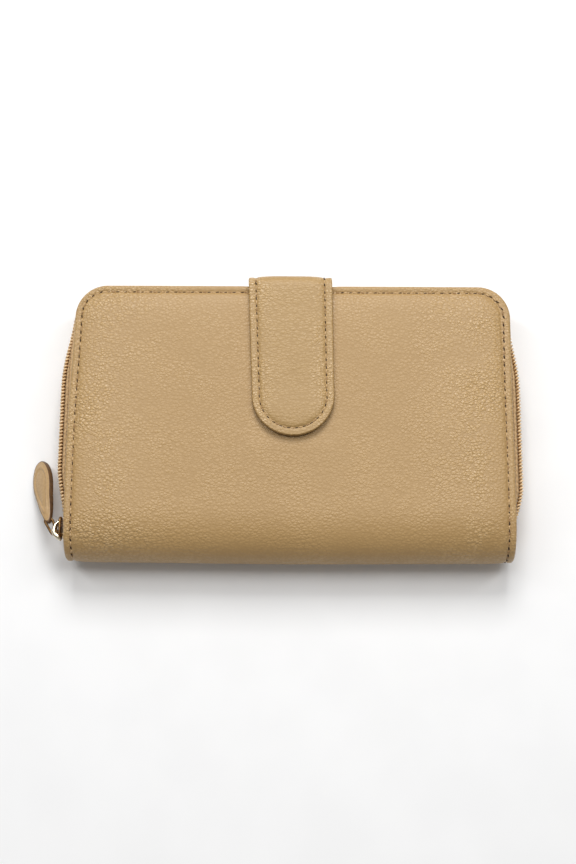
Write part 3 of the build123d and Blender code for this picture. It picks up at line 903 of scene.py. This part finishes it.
def zip_line(left_end, right_end):
    """Plan line of the zip along the cover's edge, and its outward directions."""
    top, step = EDGE_Y - 1.5, 0.7
    across = np.arange(CORNER_R - HALF_W, HALF_W - CORNER_R, step)
    base = round_outline(HALF_W, top, CORNER_R, (left_end, right_end), step, 40, across)
    tangent = unit(np.gradient(base, axis=0))
    return base, np.stack([-tangent[:, 1], tangent[:, 0]], 1)


def side_bow(xy):
    """How far the teeth stand outside the cover's edge: the sides bow out between the ends."""
    x, y = xy.T
    left = bow_along(y, by_spine=1.5, by_corner=0.6, rise_y=-44, rise=26, fall=37)
    right = bow_along(y, by_spine=-1.0, by_corner=1.4, rise_y=-54, rise=28, fall=34)
    return np.where(x < 0, left, right)


# section of the tape, cover to teeth: distance outside the edge, height, share of the bow
TAPE_SECTION = [
    (-3.2, 23.3, 0.0), (-2.2, 23.0, 0.0), (-1.1, 22.3, 0.08), (-0.5, 21.2, 0.24), (-0.2, 19.8, 0.46),
    (-0.05, 18.2, 0.68), (0.0, 16.6, 0.88), (0.0, 15.0, 0.98), (0.0, 13.55, 1.0),
]
TAPE_ROWS = 25
SEWN_ROW = 11             # the row that carries the fine sewing


def make_tape(side):
    """Woven side wall, one half of the zip tape, and the sewing along it."""
    front = side == "front"
    base, out = zip_line(-51.5, -52.0)
    bow = side_bow(base) - COIL_WIDE
    corners = range(len(TAPE_SECTION))
    rows = np.linspace(0, corners[-1], TAPE_ROWS)
    off, height, share = read_columns(rows, corners, TAPE_SECTION)
    if not front:
        height = 2 * MID_Z - height
    thick = 0.4
    ripple = 0.07 * np.sin(np.arange(len(base)) * 0.7 * 2 * pi / 7.3)
    held = np.sin(pi * np.arange(TAPE_ROWS) / (TAPE_ROWS - 1))
    place = off[:, None] + ripple * held[:, None] + share[:, None] * bow
    heights = np.broadcast_to(height[:, None, None], place.shape + (1,))
    shown = np.concatenate([base + out * place[..., None], heights], -1)
    inside = np.concatenate([base + out * (place - thick)[..., None], heights], -1)
    verts, faces = closed_shell(shown, inside, np.zeros_like(shown), rim_steps=2)
    piece = fix_normals(make_object("zip_tape_%s_cloth" % side, verts, faces, MAT_TAPE))
    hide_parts("zip_tape_" + side)
    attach(piece, side + "_cover")
    sewn = np.column_stack([out * 0.6, np.full(len(out), 0.8 if front else -0.8)])
    names = ["zip_tape_%s_sewing" % side]
    for piece in sew(shown[SEWN_ROW], sewn, 1.5, names, "zip_tape", width=0.5, seed=17):
        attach(piece, side + "_cover")


def make_coil(side):
    """Half of the zip's coil: one long wound filament along the tape's edge, on its cord."""
    way = 1 if side == "front" else -1
    base, out = zip_line(-49.5, -45.0)

    def parted(xy):
        """Behind the slider's web the two rows stand apart."""
        return np.where(xy[:, 0] < 0, 1.3 * smooth((-45.2 - xy[:, 1]) / 4.0), 0.0)

    def add_tube(name, path, wire, around, material):
        tube = make_object(name, *tube_along(path, wire, around), material)
        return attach(tube, side + "_cover")

    run = run_length(base)
    per_turn = 12
    at = np.linspace(0, run[-1], int(run[-1] / TOOTH_PITCH) * per_turn)
    angle = 2 * pi * np.arange(len(at)) / per_turn
    xy = read_points(at, run, base)
    phase = 0 if side == "front" else pi
    sideways = (COIL_WIDE / 2 - COIL_WIRE) * np.cos(angle + phase)
    outward = side_bow(xy) - COIL_WIDE / 2 + sideways
    squeeze = np.abs(np.sin(angle)) ** 0.6 * np.sign(np.sin(angle))
    z = MID_Z + way * (1.2 + parted(xy)) + 1.45 * squeeze
    path = np.column_stack([xy + unit(read_points(at, run, out)) * outward[:, None], z])
    name = "zip_coil_%s_teeth" % side
    teeth = add_tube(name, path, COIL_WIRE, 8, MAT_COIL)
    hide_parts("zip_coil_" + side)
    core_out = side_bow(base) - COIL_WIDE / 2
    core_z = MID_Z + way * (1.3 + parted(base))
    path = np.column_stack([base + out * core_out[:, None], core_z])
    add_tube(name + "_core", path, 0.42, 6, MAT_TAPE)


# ---------------------------------------------------------------- slider, ring and pull
SLIDER_LO, SLIDER_HI = mm_box("zip_slider")
SLIDER_MID = (SLIDER_LO + SLIDER_HI) / 2
PIN = np.array(JOINTS["ring_hinge"]["pos_m"]) / MM
LOOP = np.array(JOINTS["pull_hinge"]["pos_m"]) / MM
PULL_ACROSS = unit(JOINTS["pull_hinge"]["axis"])
PULL_REACH = 31.0
PULL_TWIST = 43.0         # degrees
SLIDER_ASIDE = 1.7        # the slider sits this far nearer the wallet's side
PULL_DROOP = asin((MID_Z - 1.55) / PULL_REACH)


def rounded_block(lo, hi, bevel):
    """Block with rounded edges, as vertices and faces."""
    work = bmesh.new()
    bmesh.ops.create_cube(work, size=1.0)
    for v in work.verts:
        v.co = [low if c < 0 else high for c, low, high in zip(v.co, lo, hi)]
    edges = work.edges[:]
    bmesh.ops.bevel(work, geom=edges, offset=bevel, segments=3, profile=0.5, affect="EDGES")
    verts = np.array([tuple(v.co) for v in work.verts])
    faces = [tuple(v.index for v in f.verts) for f in work.faces]
    work.free()
    return verts, faces


def crowned_plate(half_y, half_z, x_inner, x_outer):
    """Slider plate: rounded outline, domed outside, worked as two facing grids."""
    tt, ss = np.meshgrid(np.linspace(-1, 1, 17), np.linspace(-1, 1, 21), indexing="ij")
    power, crown = 4.0, 0.18
    reach = (np.abs(tt) ** power + np.abs(ss) ** power) ** (1 / power)
    box = np.maximum(np.abs(tt), np.abs(ss))
    shrink = np.where(reach > 1e-6, box / np.maximum(reach, 1e-6), 1.0)
    y, z = half_y * ss * shrink, half_z * tt * shrink
    dirs = unit(np.stack([0 * y, y, z], -1))
    y, z = y + SLIDER_MID[1], z + MID_Z
    dome = np.sign(x_outer - x_inner) * crown * (1 - box**3)
    outer = np.stack([x_outer + dome, y, z], -1)
    inner = np.stack([x_inner + 0 * y, y, z], -1)
    return closed_shell(outer, inner, dirs, rim_steps=4, bulge=0.7)


def make_slider_plates():
    """Two domed plates either side of the teeth, and the web between them."""
    soup = Soup()
    half_y, half_z = (SLIDER_HI - SLIDER_LO)[1:] / 2 - 0.35
    thick = 1.1
    near = SLIDER_HI[0] + SLIDER_ASIDE
    far = PIN[0] + 2.35 + SLIDER_ASIDE
    soup.add(*crowned_plate(half_y, half_z, near, near - thick))
    soup.add(*crowned_plate(half_y, half_z, far + thick, far))
    web_y = SLIDER_MID[1] - 3.2
    web_lo = far + thick - 0.3, web_y - 1.2, MID_Z - 0.2
    web_hi = near - thick + 0.3, web_y + 1.2, MID_Z + 0.2
    soup.add(*rounded_block(web_lo, web_hi, bevel=0.12))
    plates = fix_normals(soup.mesh("zip_slider_plates", MAT_SHADED_GOLD, "gold_metal"))
    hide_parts("zip_slider")
    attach(plates, "zip_slider")


# middle line of an ear, from the pin: towards the wallet, along the zip, and half width there
EAR_LINE = [
    (3.2, -2.9, 1.1), (2.2, -2.5, 1.0), (1.15, -1.8, 1.0), (0.5, -0.95, 1.05), (0.2, 0.1, 1.0),
    (0.3, 1.3, 0.8), (0.7, 2.5, 0.68), (1.3, 3.4, 0.62), (2.1, 4.1, 0.68), (3.0, 4.5, 0.8),
]
EAR_SECTION = [
    (-1, 0.25), (-0.8, 0.0), (0.8, 0.0), (1, 0.25), (1, 0.8), (0.6, 1.15), (0, 1.25), (-0.6, 1.15),
    (-1, 0.8),
]
EAR_T = 1.25


def make_slider_ears():
    """Crescent-shaped ears below and above the ring, from one end of the plate to the other."""
    knots = range(len(EAR_LINE))
    x, y, wide = read_columns(np.linspace(0, knots[-1], 37), knots, EAR_LINE)
    middle = np.stack([x, y], 1)
    for _ in range(3):
        middle[1:-1] = (middle[:-2] + 2 * middle[1:-1] + middle[2:]) / 4
    run = unit(np.gradient(middle, axis=0))
    across = np.stack([run[:, 1], -run[:, 0]], 1)
    soup = Soup()
    for low, upright in ((MID_Z - 2.0, False), (MID_Z + 0.8, True)):
        verts = []
        for place, side in zip(middle, across * wide[:, None]):
            for share, up in EAR_SECTION:
                ear_x, ear_y = PIN[:2] + place + side * share
                verts.append((ear_x + SLIDER_ASIDE, ear_y, low + (up if upright else EAR_T - up)))
        soup.add(verts, tube_faces(len(middle), len(EAR_SECTION)))
    ears = fix_normals(soup.mesh("zip_slider_ears", MAT_GOLD, "gold_metal"))
    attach(ears, "zip_slider")


def make_slider_pin():
    """Pin between the ears, with rounded ends."""
    lo, hi = mm_box("zip_slider_pin")
    rounded = ((0.0, 0.0), (0.3, 0.0), (0.5, 0.06), (0.56, 0.2))
    levels = [(r, lo[2] + h) for r, h in rounded] + [(r, hi[2] - h) for r, h in reversed(rounded)]
    x, y = PIN[0] + SLIDER_ASIDE, PIN[1]
    layers = []
    for r, z in levels:
        angles = even_angles(18) if r else [0.0]
        layers.append([(x + r * cos(a), y + r * sin(a), z) for a in angles])
    pin = fix_normals(make_object("zip_slider_pin_metal", *stacked(layers), MAT_GOLD))
    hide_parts("zip_slider_pin")
    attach(pin, "zip_slider")


def make_ring():
    """Round-wire ring in the shape of a pear, lying along the pull's line."""
    along = np.cross((0, 0, 1.0), PULL_ACROSS)
    near_r, far_r, gap = 1.25, 1.6, 4.3
    tilt = np.degrees(asin((far_r - near_r) / gap))
    u, v = np.vstack([
        arc((0, 0), near_r, 180 + tilt, 360 - tilt, 18), arc((0, gap), far_r, -tilt, 180 + tilt, 30)
    ]).T
    path = PIN + u[:, None] * PULL_ACROSS + v[:, None] * along
    path[:, 0] += SLIDER_ASIDE * (1 - v / (gap + far_r))
    tube = tube_along(path, 0.6, 10, closed=True)
    piece = fix_normals(make_object("pull_ring_wire", *tube, MAT_SHADED_GOLD))
    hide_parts("pull_ring")
    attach(piece, "pull_ring")


def pull_outline(angle):
    """Egg-shaped edge of the pull: narrow by the ring, full near the far end."""
    start, end = -1.7, PULL_REACH - 0.9
    share = (1 - np.cos(angle)) / 2
    turn = np.sin(angle)
    half = 5.5 * np.abs(turn) ** 0.8 * (0.48 + 0.68 * smooth(share / 0.8))
    u = 0.3 - 0.9 * share + half * np.sign(turn)
    return np.stack([u, start + (end - start) * share], 1)


def pull_place(u, v, h):
    """Point of the pull in the CAD frame. Past the loop it is twisted, left edge down."""
    flat = np.cross((0, 0, 1.0), PULL_ACROSS)
    along = unit(flat * cos(PULL_DROOP) - np.array([0, 0, 1.0]) * sin(PULL_DROOP))
    up = unit(np.cross(PULL_ACROSS, along))
    twist = radians(PULL_TWIST) * (0.45 + 0.55 * smooth((v + 1.7) / 14))
    u, h = u * np.cos(twist) - h * np.sin(twist), u * np.sin(twist) + h * np.cos(twist)
    return LOOP + u[:, None] * PULL_ACROSS + v[:, None] * along + h[:, None] * up


def pull_level(r):
    """Height of the pull's face: a padded middle, a groove and a raised ridge by the edge."""
    crown = 0.55 * (1 - np.clip(r / 0.8, 0, 1) ** 2.4)
    ridge, groove = 0.34 * bell(r - 0.74, 0.075), -0.16 * bell(r - 0.6, 0.05)
    return 1.25 + crown + ridge + groove - 0.25 * smooth((r - 0.9) / 0.1)


def make_pull():
    """Padded leather pull: a face with a raised ridge, an edge coloured dark as painted shade for its
    shaded side, and the ring's loop.
    """
    around = 80
    centre = np.array([0.0, 17.5])
    spread = pull_outline(even_angles(around)) - centre

    def layer(share, h):
        ring = centre + spread * share if share else centre[None]
        return np.column_stack([ring, np.full(len(ring), h)])

    rs = np.concatenate([[0.0], np.linspace(0.1, 0.62, 8), np.linspace(0.66, 1.0, 12)])
    face = [layer(r, pull_level(r)) for r in rs]
    wall = [layer(1.0 + 0.02 * cos(t * pi / 2), 1.05 * t) for t in np.linspace(0.9, -0.9, 7)]
    back = [layer(r, -0.9 * pull_level(r)) for r in reversed(rs)]
    flat, faces = stacked(face + wall + back)
    piece = make_object("leather_pull_pad", pull_place(*flat.T), faces, MAT_PULL)
    piece.data.materials.append(MAT_PULL_SIDE_SHADE)
    bands = len(face + wall + back) - 1
    # the edge bands take the dark colour, painted shade for the pull's shaded side
    painted = [len(face) - 2 <= band <= len(face + wall) for band in range(bands)]
    piece.data.polygons.foreach_set("material_index", np.repeat(painted, around).astype(int))
    fix_normals(piece)
    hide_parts("pull_face", "pull_back", "pull_filler")
    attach(piece, "leather_pull")


# ---------------------------------------------------------------- flat inner pieces
def soft_plate(name, node_name, material, body, facing, low_y, radius=2.0, seed=0):
    """Cut leather or cloth layer in its CAD node's place: soft edge, slightly uneven face."""
    lo, hi = mm_box(node_name)
    lo[1] = max(lo[1], low_y)
    t = hi[2] - lo[2]
    half = (hi[0] - lo[0]) / 2
    cx = (hi[0] + lo[0]) / 2
    xs, yy, nx, ny = plan_grid(half, hi[1], lo[1], radius, radius, 2.0, 5.0, inset=t / 2)
    d = np.minimum(half - np.abs(xs), np.minimum(hi[1] - yy, yy - lo[1]))
    wave = 0.1 * wave_noise(xs, yy, seed, 70) * smooth((d - 2) / 12)
    crease = -0.1 * bell(d - 2.0, 0.45)
    lift = np.clip(wave + crease, -0.25 * t, 0.25 * t) + 0.024 * smooth(d / 4)
    back_z, face_z = (lo[2], hi[2]) if facing > 0 else (hi[2], lo[2])
    face = np.stack([xs + cx, yy, face_z + facing * lift], -1)
    back = np.stack([xs + cx, yy, back_z + 0 * xs], -1)
    dirs = np.zeros(face.shape)
    dirs[:, -1, :2] = np.stack([nx, ny], 1)
    dirs[:, 0, :2] = np.stack([-nx, ny], 1)
    dirs[0, 1:-1] = (0, 1, 0)
    dirs[-1, 1:-1] = (0, -1, 0)
    verts, faces = closed_shell(face, back, dirs, rim_steps=4)
    piece = fix_normals(make_object(name, verts, faces, material))
    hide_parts(node_name)
    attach(piece, body)


def edge_seam(node_name, facing, body):
    """Small stitches along the upper edge of a card pocket."""
    lo, hi = mm_box(node_name)
    inset, pitch = 2.2, 3.0
    y, z = hi[1] - inset, (hi[2] if facing > 0 else lo[2]) + facing * 0.05
    begin, end = (lo[0] + inset, y, z), (hi[0] - inset, y, z)
    steps = int((end[0] - begin[0]) / 0.8)
    line = np.linspace(begin, end, steps + 1)
    normals = np.tile([0, 0, float(facing)], (len(line), 1))
    names = node_name + "_edge_seam", node_name + "_edge_seam_holes"
    for piece in sew(line, normals, pitch, names, "pocket_leather", width=0.5, seed=len(line)):
        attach(piece, body)


def make_end_tab(node_name, side):
    """Leather tab over the zip's end, its edge cut to the curve of the rolled cover."""
    lo, hi = mm_box(node_name)
    front = side == "front"
    low, high = (lo[2], hi[2]) if front else (2 * MID_Z - hi[2], 2 * MID_Z - lo[2])
    ys = np.linspace(lo[1], hi[1], 15)
    cover_z = np.interp(-ys, -FOLD[:, 0], FOLD[:, 1])
    top = np.clip(cover_z - COVER_T - 0.25, low + 0.5, high)
    outline = np.vstack([np.column_stack([ys, 0 * ys + low]), np.column_stack([ys, top])[::-1]])
    middle = outline.mean(0)
    verts = []
    for x, shrink in ((lo[0], 0.94), (lo[0] + 0.25, 1.0), (hi[0] - 0.25, 1.0), (hi[0], 0.94)):
        for y, z in middle + (outline - middle) * shrink:
            verts.append((x, y, z if front else 2 * MID_Z - z))
    faces = tube_faces(4, len(outline))
    piece = fix_normals(make_object(node_name + "_leather", verts, faces, MAT_POCKET, False))
    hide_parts(node_name)
    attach(piece, side + "_cover")


# ---------------------------------------------------------------- build everything
SIDES = ("front", "back")
for side in SIDES:
    make_cover_skin(side)

for side, seed in (("front", 6), ("back", 5)):
    seam = cover_seam(side == "front", SPINE_END + 2.2)
    names = "cover_%s_stitches" % side, "cover_%s_needle_holes" % side
    for piece in sew(*seam, STITCH_PITCH, names, "cover_leather", seed=seed):
        blend_round_spine(piece)

# extra short stitches where the edge goes round to the spine
tack_y = np.arange(FOLD_START_Y - 13.0, FOLD_START_Y + 0.5, 0.6)
for way, label in ((-1, "left"), (1, "right")):
    tack_x = way * (cover_width(tack_y) - STITCH_IN - 0.12)
    line = cover_line(tack_x, tack_y, True)
    names = "cover_backtack_%s_threads" % label, "cover_backtack_%s_holes" % label
    for piece in sew(*line, 2.5, names, "cover_leather", slant=24.0 * way, seed=8):
        blend_round_spine(piece)

BRIDGE = ["strap_bridge_outer", "strap_bridge_lining"]
make_strap_half(
    "strap_upper", S_SPLIT, S_LENGTH,
    ["strap_tab_outer", "strap_tab_lining", "strap_tab_filler"] + BRIDGE,
)
make_strap_half(
    "strap_lower", 0.0, S_SPLIT,
    ["strap_root"] + BRIDGE,
)
names = "strap_stitches", "strap_needle_holes"
for piece in sew(*strap_seam(), STRAP_PITCH, names, "strap_leather", width=0.66, seed=11):
    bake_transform(piece)

for side in SIDES:
    make_tape(side)
    make_coil(side)
    make_lining_skin(side)
    for end in ("left", "right"):
        make_end_tab("zip_end_tab_%s_%s" % (side, end), side)
make_slider_plates()
make_slider_ears()
make_slider_pin()
make_ring()
make_pull()

for side, facing, strips in (("front", -1, 4), ("back", 1, 3)):
    body = side + "_cover"
    names = [side + "_slip_panel"] + [side + "_card_strip_%d" % (k + 1) for k in range(strips)]
    for seed, node_name in enumerate(names, 20):
        soft_plate(
            node_name + "_leather", node_name, MAT_POCKET, body, facing,
            FOLD_START_Y - 10, seed=seed,
        )
        edge_seam(node_name, facing, body)
    soft_plate(
        side + "_board_sheet", side + "_board", MAT_BOARD, body, facing,
        FOLD_START_Y - 4, radius=9.0, seed=33,
    )
for node_name, facing in (("leaf_wall_back", -1), ("leaf_wall_front", 1)):
    soft_plate(
        node_name + "_cloth", node_name, MAT_LINING, "back_cover", facing,
        FOLD_START_Y - 14, seed=41,
    )

# pieces that keep their CAD mesh
CAD_MATERIALS = (
    (MAT_GOLD, ("coin_slider", "coin_slider_pin", "coin_pull")),
    (MAT_STEEL, ("snap_stud", "snap_washer", "snap_socket")),
    (MAT_WINDOW, ("id_window",)),
    (MAT_POCKET, ("id_frame",)),
    (MAT_LINING, ("leaf_gusset_left", "leaf_gusset_right", "leaf_bottom_strip", "leaf_base_strip")),
    (MAT_TAPE, ("coin_tape_back", "coin_tape_front")),
    (MAT_COIL, ("coin_coil_back", "coin_coil_front")),
)
for material, names in CAD_MATERIALS:
    for name in names:
        materials = frame["nodes"][name].data.materials
        materials.clear()
        materials.append(material)


# ---------------------------------------------------------------- floor, light and camera
def make_floor():
    sh = Shader("PaleFloor")
    speckle = sh.remap(sh.noise(30.0, 2.0), 0.3, 0.7)
    colour = sh.mix(speckle, (0.85, 0.85, 0.85, 1), (0.87, 0.87, 0.87, 1))
    material = sh.finish(colour, 0.9, **{"Specular IOR Level": 0.1})
    size, z = 4000.0, -0.05
    verts = [(-size, -size, z), (size, -size, z), (size, size, z), (-size, size, z)]
    make_object("floor", verts, [(0, 1, 2, 3)], material, False)


def area_light(name, place, target, size, energy, size_y=None):
    light = bpy.data.lights.new(name, "AREA")
    light.energy = energy
    light.size = size
    if size_y:
        light.shape = "RECTANGLE"
        light.size_y = size_y
    lamp = bpy.data.objects.new(name, light)
    lamp.location = place
    lamp.rotation_euler = (Vector(target) - Vector(place)).to_track_quat("-Z", "Y").to_euler()
    bpy.context.scene.collection.objects.link(lamp)


def make_camera():
    """Camera nearly overhead, leaning to the spine's side and turned a touch."""
    distance, tilt, yaw, roll = 0.640, radians(14.0), radians(0.15), radians(0.30)
    aside, above = 0.0010, 0.00247     # how far the wallet lies off the middle of the view
    back = Vector((sin(yaw), -sin(tilt), cos(tilt))).normalized()
    level = Vector((0, 1, 0)).cross(back).normalized()
    upright = back.cross(level)
    right = level * cos(roll) + upright * sin(roll)
    up = upright * cos(roll) - level * sin(roll)
    middle = Vector((0, 0, 0.014)) - right * aside - up * above
    camera = bpy.data.cameras.new("camera")
    camera.sensor_width = 36.0
    camera.lens = 61.58
    camera.clip_start, camera.clip_end = 0.02, 20.0
    obj = bpy.data.objects.new("camera", camera)
    turn = Matrix((right, up, back)).transposed().to_4x4()
    obj.matrix_world = Matrix.Translation(middle + back * distance) @ turn
    bpy.context.scene.collection.objects.link(obj)
    bpy.context.scene.camera = obj


make_floor()
world = bpy.data.worlds.new("studio")
world.use_nodes = True
background = world.node_tree.nodes["Background"].inputs
background["Color"].default_value = (1.0, 1.0, 1.0, 1)
background["Strength"].default_value = 0.275
bpy.context.scene.world = world
bpy.context.scene.view_settings.view_transform = "Standard"
area_light("key", (0.0, 0.95, 1.05), (0, 0.05, 0), 0.6, 13.1)
area_light("left_strip", (-0.38, 0.2, 0.8), (-0.07, 0, 0), 0.1, 2.5, 0.8)
area_light("right_strip", (0.38, 0.2, 0.8), (0.07, 0, 0), 0.1, 2.5, 0.8)
make_camera()
